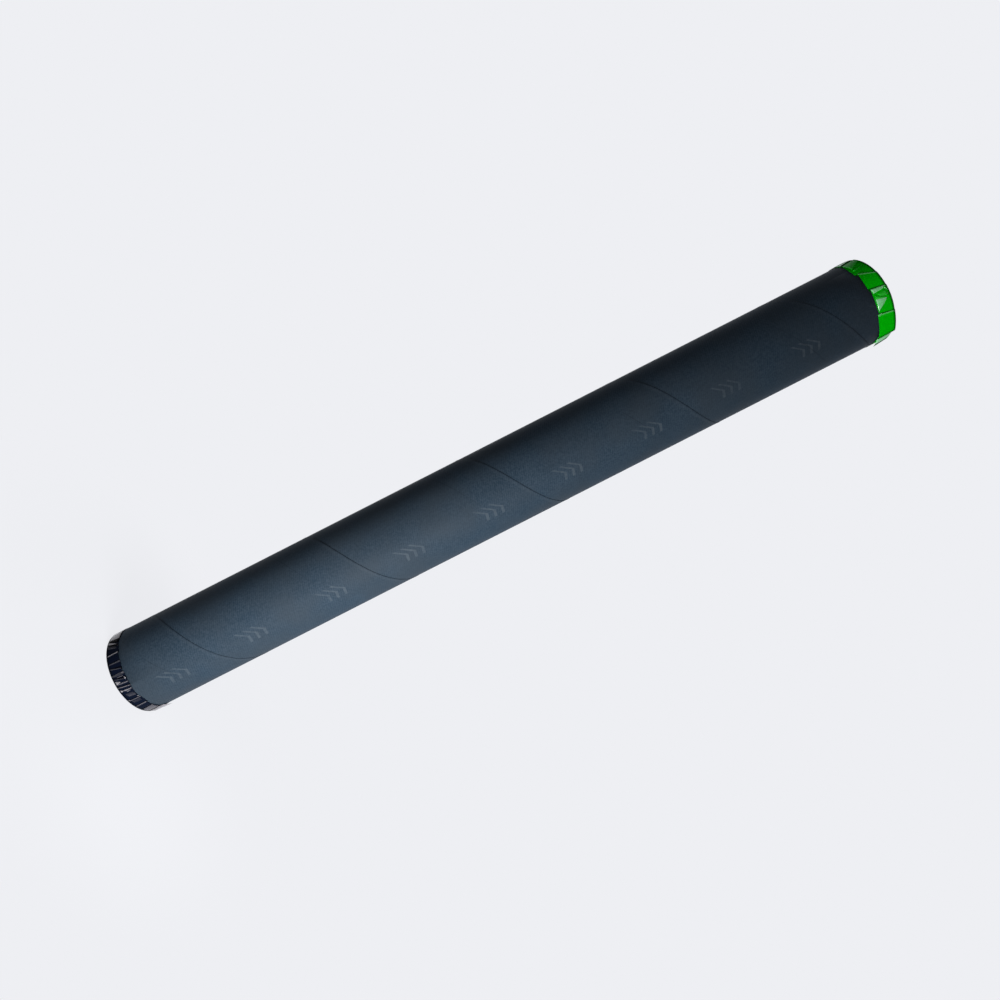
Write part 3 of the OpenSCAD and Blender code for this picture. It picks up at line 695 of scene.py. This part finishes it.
glints = gather + shifted(gather, -225) + shifted(gather, -131) + [
    (((192, 1.3), (192, 7.8), (212.4, 7.8), (209.6, 1.4)), 0.9, 1.0, 0.0),
    (((197, 2.6), (197, 5.6), (208.8, 6.4), (206.4, 2.6)), 0.5, 0.6, 0.25),
    (((210, 0.8), (212.8, 7.9), (219.4, 7.4), (213.8, 0.8)), 0.0, 0.0, 0.95),
    (((213.8, 1.2), (219.4, 5.6), (222.8, 7.0), (217.4, 1.1)), 0.75, 0.6, 0.0),
    (((217.4, 1.0), (222.8, 7.4), (226.0, 7.4), (220.4, 1.0)), 0.0, 0.0, 0.9),
    (((220.4, 1.2), (226.5, 6.6), (229.5, 7.0), (225, 1.6)), 0.04, 0.1, 0.0),
    (((299.4, 6.7), (299.8, 7.3), (301.6, 7.5), (301.0, 6.8)), 0.25, 0.4, 0.0),
    (((300.4, 1.1), (301.2, 1.8), (302.2, 1.7), (302.2, 1.1)), 0.5, 0.3, 0.0),
    (((304, 2.0), (304.6, 6.8), (309, 7.2), (308, 2.4)), 0.05, 0.02, 0.0),
    (((327.6, 1.3), (327.0, 7.4), (340.0, 7.8), (340.2, 1.2)), 0.16, 0.22, 0.0),
    (((338.6, 1.2), (338.2, 8.0), (342.6, 8.4), (342.6, 1.2)), 0.0, 0.0, 0.95),
    (((342, 9.6), (341.6, 1.6), (353, 1.2), (358, 11.4)), 0.35, 0.6, 0.0, TWO_LINES, 1.0),
]
for corners, *look in glints:
    add_facet(bm, corners, glint_r, *look)
outward(bm, -1.0)
base = add_piece(
    "base_film_pleats", bm, film_black, "barrel", ["base_film"], wall=0.03 * MM,
)
print(base.name, len(glints), "facets,", len(base.data.polygons), "faces")

# %% [markdown]
# ## The paper rolls
# Thirty rolls of orange tissue streamer are stacked in layers of three. A solid cylinder would hide
# that each is one long strip. A short upright edge, spun many turns while it moves outward, is the
# wound strip itself; Solidify gives the paper its thickness and the gaps between turns show at the
# ends. The loose end stands off a little and looks to the tube's axis.

# %% Streamer finish
streamer_paper = grained(
    "streamer_paper", (0.86, 0.13, 0.018), (1.0, 0.21, 0.04), 1400.0, (0.62, 0.8), 0.06 * MM,
    (1, 1, 0.5), Specular_IOR_Level=0.2,
)
print("finish", streamer_paper.name)

# %% Streamer rolls
roll_names = sorted(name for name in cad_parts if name.startswith("streamer_roll_"))
first_low, first_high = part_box(roll_names[0])
hole_r = 1.55 * MM
roll_r = (first_high[0] - first_low[0]) / 2 - 0.03 * MM
off_axis = 12.955
wound, wound_steps = 22, 30
end_verts, end_stand_off, end_turn = 6, 0.12 * MM, 0.2
growth = (roll_r - hole_r) / wound
strip_z = [0.05 * MM, first_high[2] - first_low[2] - 0.05 * MM]
roll = bmesh.new()
points = [(hole_r, 0, z) for z in strip_z]
spin_line(roll, points, 2 * math.pi * wound, wound * wound_steps, (growth / wound_steps, 0, 0))
roll.verts.ensure_lookup_table()
for v in roll.verts[-end_verts:]:
    v.co.xy *= 1 + end_stand_off / roll_r
outward(roll)
for k, name in enumerate(roll_names):
    bm = roll.copy()
    angle = math.radians(90 + 120 * (k % 3))
    centre = Vector((math.cos(angle), math.sin(angle), 0)) * off_axis * MM
    to_axis = Matrix.Rotation(angle + math.pi + end_turn, 3, "Z")
    bmesh.ops.rotate(bm, verts=bm.verts, cent=(0, 0, 0), matrix=to_axis)
    bmesh.ops.translate(bm, verts=bm.verts, vec=(centre.x, centre.y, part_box(name)[0][2]))
    made = add_piece(
        name.replace("roll", "paper"), bm, streamer_paper, "payload", [name],
        wall=0.26 * MM,
    )
roll.free()
print(len(roll_names), "rolls of", wound, "turns,", len(made.data.polygons), "faces each")


# %% [markdown]
# ## The striker's spring
# A round wire wound in a coil, held short until the release lets go. It is the textbook spin: a
# small circle, turned round the axis with a rise at each step. The lower end stays on its plate and
# the upper end follows the striker, so the piece blends between the two bodies and stretches.

# %% Spring and its finish
def metal(*look):
    return grained(*look, Metallic=1.0)


spring_steel = metal(
    "spring_steel", (0.36, 0.37, 0.39), (0.5, 0.51, 0.53), 900.0, (0.22, 0.38), 0.01 * MM, (1, 1, 6),
)
low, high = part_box("striker_spring")
wire_r, slim = 0.5 * MM, 0.97
coils, coil_steps = 6, 40
rise = high[2] - low[2] - 2 * wire_r
bm = bmesh.new()
ring = bmesh.ops.create_circle(bm, radius=wire_r * slim, segments=12)["verts"]
bmesh.ops.rotate(bm, verts=ring, cent=(0, 0, 0), matrix=Matrix.Rotation(math.pi / 2, 3, "X"))
bmesh.ops.translate(bm, verts=ring, vec=(high[0] - wire_r, 0, low[2] + wire_r))
bmesh.ops.spin(
    bm, geom=ring + bm.edges[:], cent=(0, 0, 0), axis=(0, 0, 1), dvec=(0, 0, rise / coils / coil_steps),
    angle=2 * math.pi * coils, steps=coils * coil_steps, use_merge=False,
)
bmesh.ops.holes_fill(bm, edges=[e for e in bm.edges if e.is_boundary], sides=0)
bmesh.ops.recalc_face_normals(bm, faces=bm.faces)
spring = add_piece("striker_spring_coil", bm, spring_steel, None, ["striker_spring"])
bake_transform(spring, "barrel", "striker", start=(0, 0, low[2]), end=(0, 0, high[2]))
print(spring.name, coils, "coils,", len(spring.data.polygons), "faces")

# %% [markdown]
# ## The retaining thread
# A loop of three-ply cotton holds the striker down until the resistor burns it. A smooth rod would
# read as wire. A circle pushed into three lobes and spun about its own axis while it moves forward
# gives the twist; two legs, a bridge through the striker's tail and a knot under the board each
# side make the loop.

# %% Thread finish and twist
thread_cotton = grained(
    "thread_cotton", (0.72, 0.69, 0.61), (0.86, 0.83, 0.76), 2600.0, (0.75, 0.92), 0.05 * MM,
    Specular_IOR_Level=0.15,
)
thread_r, knot_r = 0.39 * MM, 0.78 * MM
twist_length, twist_step = 2.2 * MM, 0.2 * MM


def add_twist(bm, start, direction, length):
    direction = Vector(direction)
    plies = bmesh.ops.create_circle(bm, radius=thread_r, segments=15)["verts"]
    for v in plies:
        v.co *= 0.86 + 0.14 * math.cos(3 * math.atan2(v.co.y, v.co.x))
    turn = direction.to_track_quat("Z", "Y").to_matrix()
    bmesh.ops.rotate(bm, verts=plies, cent=(0, 0, 0), matrix=turn)
    bmesh.ops.translate(bm, verts=plies, vec=start)
    steps = max(8, round(length / twist_step))
    ring = {e for v in plies for e in v.link_edges}
    bmesh.ops.spin(
        bm, geom=plies + list(ring), cent=start, axis=direction, dvec=direction * length / steps,
        angle=2 * math.pi * length / twist_length, steps=steps, use_merge=False,
    )


print("finish", thread_cotton.name)

# %% Thread loop
low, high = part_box("retaining_thread")
leg_x, knot_z, bridge_z = high[0] - 0.8 * MM, low[2] + 0.8 * MM, high[2] - 0.4 * MM
bm = bmesh.new()
for way in (-1, 1):
    add_twist(bm, (way * leg_x, 0, knot_z), (0, 0, 1), bridge_z - knot_z)
    knot = bmesh.ops.create_uvsphere(bm, u_segments=18, v_segments=10, radius=knot_r)["verts"]
    for v in knot:
        v.co *= 0.9 + 0.1 * math.sin(5 * math.atan2(v.co.y, v.co.x) + v.co.z * 4000)
    bmesh.ops.translate(bm, verts=knot, vec=(way * leg_x, 0, knot_z))
add_twist(bm, (-leg_x, 0, bridge_z), (1, 0, 0), 2 * leg_x)
for way in (-1, 1):
    bend = bmesh.ops.create_uvsphere(bm, u_segments=14, v_segments=8, radius=thread_r)["verts"]
    bmesh.ops.translate(bm, verts=bend, vec=(way * leg_x, 0, bridge_z))
bmesh.ops.holes_fill(bm, edges=[e for e in bm.edges if e.is_boundary], sides=0)
bmesh.ops.recalc_face_normals(bm, faces=bm.faces)
thread = add_piece(
    "retaining_thread_loop", bm, thread_cotton, "barrel", ["retaining_thread"],
)
print(thread.name, len(thread.data.polygons), "faces")

# %% [markdown]
# ## Finishes of the solid parts
# The rigid parts keep their solids, which already have the right shape, and only change material.
# Board is fibrous, moulded plastic has a fine spark texture, drawn steel has long lines, brass is
# warm and a little dull.

# %% Board, plastic and rubber
board = grained(
    "core_board", (0.20, 0.18, 0.155), (0.33, 0.30, 0.265), 1100.0, (0.78, 0.95), 0.08 * MM, (1, 1, 0.4),
)
plug_plastic = grained(
    "plug_plastic", (0.012, 0.013, 0.015), (0.022, 0.024, 0.028), 1700.0, (0.38, 0.55), 0.03 * MM,
)
holder_plastic = grained(
    "holder_plastic", (0.035, 0.04, 0.048), (0.055, 0.062, 0.072), 1700.0, (0.4, 0.58), 0.03 * MM,
)
socket_plastic = grained(
    "socket_plastic", (0.58, 0.54, 0.44), (0.68, 0.64, 0.54), 1500.0, (0.32, 0.48), 0.02 * MM,
)
pusher_plastic = grained(
    "pusher_plastic", (0.60, 0.62, 0.63), (0.72, 0.74, 0.75), 1300.0, (0.36, 0.52), 0.03 * MM,
)
rubber = grained(
    "seal_rubber", (0.008, 0.008, 0.009), (0.02, 0.02, 0.021), 1500.0, (0.6, 0.8), 0.03 * MM,
    Specular_IOR_Level=0.3,
)
print("board, four plastics and rubber")

# %% Metals
brass = metal(
    "contact_brass", (0.60, 0.42, 0.14), (0.74, 0.54, 0.22), 700.0, (0.24, 0.42), 0.01 * MM, (1, 1, 0.2),
)
turned_brass = metal(
    "striker_brass", (0.55, 0.40, 0.16), (0.68, 0.51, 0.23), 900.0, (0.28, 0.45), 0.01 * MM, (0.2, 0.2, 3),
)
plate_steel = metal(
    "plate_steel", (0.42, 0.43, 0.44), (0.55, 0.56, 0.57), 500.0, (0.3, 0.46), 0.01 * MM, (4, 0.3, 1),
)
screw_steel = metal(
    "screw_steel", (0.45, 0.46, 0.47), (0.6, 0.61, 0.62), 1500.0, (0.25, 0.4), 0.01 * MM,
)
needle_steel = metal(
    "needle_steel", (0.55, 0.56, 0.58), (0.68, 0.69, 0.70), 1200.0, (0.18, 0.3), 0.006 * MM, (1, 1, 0.15),
)
cylinder_steel = metal(
    "cylinder_steel", (0.40, 0.42, 0.43), (0.54, 0.55, 0.56), 420.0, (0.3, 0.5), 0.012 * MM,
    (0.25, 0.25, 2.5),
)
cap_aluminium = metal(
    "cap_aluminium", (0.66, 0.67, 0.68), (0.78, 0.79, 0.80), 1100.0, (0.28, 0.44), 0.012 * MM,
)
print("seven metals")

# %% [markdown]
# ## Board and resistor
# The release board is green lacquered laminate: its glass weave shows through as a fine grid and
# copper runs under the lacquer as paler bands. The resistor is a tan body with colour rings and bare
# leads, so its colour is read along its length.

# %% Release board
circuit_board, tree, shader = new_material("circuit_board")
glass_step, run_every, run_width, run_slant = 0.5 * MM, 2.4 * MM, 0.55 * MM, 0.35
spot = node(tree, "SeparateXYZ", {0: node(tree, "TexCoord").outputs["Object"]}).outputs
weave = [calc(tree, "SINE", calc(tree, "MULTIPLY", spot[k], 2 * math.pi / glass_step)) for k in (0, 1)]
glass = calc(tree, "MULTIPLY_ADD", calc(tree, "MULTIPLY", *weave), 0.5, 0.5)
slanted = calc(tree, "ADD", spot[0], calc(tree, "MULTIPLY", spot[1], run_slant))
copper = calc(tree, "LESS_THAN", calc(tree, "PINGPONG", slanted, run_every), run_width)
lacquer = mix(tree, glass, (0.012, 0.085, 0.030, 1), (0.018, 0.11, 0.042, 1))
color = mix(tree, copper, lacquer, (0.05, 0.20, 0.075, 1))
look = place(tree, grain, {"Scale": 1200.0, "Low": 0.22, "High": 0.36})
dress(tree, shader, color, look["Value"], calc(tree, "ADD", copper, look["Height"]), 0.02 * MM)
print("finish", circuit_board.name)

# %% Resistor
resistor_body, tree, shader = new_material("resistor_body")
ring_length, body_half = 8 * MM, 3.16 * MM
lead, tan = (0.6, 0.6, 0.62, 1), (0.55, 0.36, 0.18, 1)
brown, black = (0.10, 0.03, 0.01, 1), (0.01, 0.01, 0.01, 1)
spot = node(tree, "SeparateXYZ", {0: node(tree, "TexCoord").outputs["Object"]}).outputs
rings = node(tree, "ValToRGB", {0: calc(tree, "MULTIPLY_ADD", spot[1], 1 / ring_length, 0.5)})
ramp = rings.color_ramp
ramp.interpolation = "CONSTANT"
ramp.elements[0].color = lead
ramp.elements[1].position, ramp.elements[1].color = 0.106, tan
bands = (0.24, brown), (0.32, tan), (0.40, black), (0.48, tan), (0.56, brown), (0.64, tan), (0.894, lead)
for at, tone in bands:
    ramp.elements.new(at).color = tone
look = place(tree, grain, {"Scale": 1600.0, "Low": 0.3, "High": 0.45})
color = mix(tree, calc(tree, "MULTIPLY", look["Mask"], 0.15), rings.outputs[0], black)
bare_lead = calc(tree, "GREATER_THAN", calc(tree, "ABSOLUTE", spot[1]), body_half)
for label, socket in (("Base Color", color), ("Roughness", look["Value"]), ("Metallic", bare_lead)):
    tree.links.new(socket, shader.inputs[label])
print("finish", resistor_body.name)

# %% Give the solids their finishes
kept = {
    "barrel_core": board, "spacer_sleeve": board, "muzzle_disc": board,
    "base_plug": plug_plastic, "plug_seal_ring": rubber, "neck_gasket": rubber,
    "socket_housing": socket_plastic, "socket_bush": brass, "socket_tip_contact": brass,
    "release_board": circuit_board, "heating_resistor": resistor_body,
    "spring_plate": plate_steel, "striker_guide": holder_plastic, "guide_screws": screw_steel,
    "striker": turned_brass, "piercing_needle": needle_steel,
    "gas_cylinder": cylinder_steel, "cylinder_cap": cap_aluminium,
    "cylinder_cradle": holder_plastic, "cylinder_retainer": holder_plastic, "pusher": pusher_plastic,
}
for name, finish in kept.items():
    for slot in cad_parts[name].material_slots:
        slot.material = finish
print(len(kept), "solid parts finished")

# %% [markdown]
# ## Floor and background
# The photograph's ground is one even pale grey. A lit floor alone would darken towards the horizon,
# so the floor adds a little light of its own for the camera, fades into the plain background tone
# with distance, and stays a lit surface close to the tube, where the soft shadow falls.

# %% Floor
ground = (0.855, 0.863, 0.896, 1)
fade_from, fade_to = 0.05, 0.16


def seen_rays(tree):
    path = node(tree, "LightPath").outputs
    seen = calc(tree, "MAXIMUM", path["Is Camera Ray"], path["Is Glossy Ray"])
    return calc(tree, "MAXIMUM", seen, path["Is Transmission Ray"])


bm = bmesh.new()
bmesh.ops.create_grid(bm, x_segments=1, y_segments=1, size=40)
mesh = bpy.data.meshes.new("floor")
bm.to_mesh(mesh)
bm.free()
floor = bpy.data.objects.new("floor", mesh)
bpy.context.scene.collection.objects.link(floor)
floor_tone = bpy.data.materials.new("floor_tone")
floor_tone.use_nodes = True
tree = floor_tone.node_tree
tree.nodes.clear()
spot = node(tree, "TexCoord").outputs["Object"]
away = node(tree, "VectorMath", {0: spot}, operation="LENGTH").outputs["Value"]
fade = {0: away, 1: fade_from, 2: fade_to, 3: 1.0, 4: 0.0}
near = node(tree, "MapRange", fade, interpolation_type="SMOOTHSTEP").outputs[0]
pale_floor = node(tree, "BsdfDiffuse", {"Color": (0.80, 0.80, 0.82, 1)}).outputs[0]
lit = node(tree, "BsdfDiffuse", {"Color": (0.08, 0.081, 0.084, 1)}).outputs[0]
glow = node(tree, "Emission", {"Color": ground, "Strength": 0.93}).outputs[0]
plain = node(tree, "Emission", {"Color": ground, "Strength": 1.0}).outputs[0]
close = node(tree, "AddShader", {0: lit, 1: glow}).outputs[0]
shown = node(tree, "MixShader", {0: near, 1: plain, 2: close}).outputs[0]
surface = node(tree, "MixShader", {0: seen_rays(tree), 1: pale_floor, 2: shown}).outputs[0]
node(tree, "OutputMaterial", {"Surface": surface})
floor.data.materials.append(floor_tone)
print("floor", mesh.name)

# %% [markdown]
# ## Light
# One soft box stands low on the base side, well to the right of the line of sight, so the tube is
# lighter towards its base and its other flank stays dark, as in the photograph. A tall box behind
# lights the far side and a small one above lights the muzzle's face. The world is the even background
# for the eye and a quiet fill for everything else.

# %% World and lamps
world = bpy.data.worlds.new("studio")
world.use_nodes = True
bpy.context.scene.world = world
tree = world.node_tree
tree.nodes.clear()
fill = node(tree, "Background", {"Color": (0.93, 0.96, 1.0, 1), "Strength": 0.06}).outputs[0]
backdrop = node(tree, "Background", {"Color": ground, "Strength": 1.0}).outputs[0]
surface = node(tree, "MixShader", {0: seen_rays(tree), 1: fill, 2: backdrop}).outputs[0]
node(tree, "OutputWorld", {"Surface": surface})


def soft_box(name, at, aim, size, power, spread=180):
    lamp = bpy.data.lights.new(name, "AREA")
    lamp.shape = "RECTANGLE"
    lamp.size, lamp.size_y = size
    lamp.energy = power
    lamp.spread = math.radians(spread)
    box = bpy.data.objects.new(name, lamp)
    box.location = at
    box.rotation_euler = (Vector(aim) - Vector(at)).to_track_quat("-Z", "Y").to_euler()
    box.visible_camera = False
    bpy.context.scene.collection.objects.link(box)


soft_box("key_box", at=(0.235, -0.28, 0.12), aim=(0, 0, 0.11), size=(0.16, 0.20), power=1.75, spread=140)
soft_box("outline_box", at=(0, 0.95, 0.4), aim=(0, 0, 0.25), size=(0.5, 1.2), power=6.0)
soft_box("top_box", at=(0, 0, 1.7), aim=(0, 0, 0.5), size=(0.5, 0.5), power=2.6)
print("three soft boxes and a world")

# %% [markdown]
# ## Camera
# The photograph looks straight at the middle of the tube from rather close by, rolled so that the
# tube rises to the right at 27 degrees. Its distance and lens follow from how much the far ends
# shrink, and its roll is built from three axes instead of angles, which is easier to read.

# %% Camera
roll_angle = math.radians(27)
middle = Vector((0, 0, 0.25))
off_right, off_up, distance = -0.00031, -0.00863, 0.4286
right = Vector((math.sin(roll_angle), 0, math.cos(roll_angle)))
up = Vector((-math.cos(roll_angle), 0, math.sin(roll_angle)))
back = right.cross(up)
eye = middle + right * off_right + up * off_up + back * distance
lens = bpy.data.cameras.new("camera")
lens.sensor_width = 36
lens.lens = 25.2
lens.clip_start, lens.clip_end = 0.01, 200
camera = bpy.data.objects.new("camera", lens)
camera.matrix_world = Matrix.Translation(eye) @ Matrix((right, up, back)).transposed().to_4x4()
bpy.context.scene.collection.objects.link(camera)
bpy.context.scene.camera = camera
bpy.context.scene.view_settings.view_transform = "Standard"
print("camera", [round(c, 4) for c in eye])
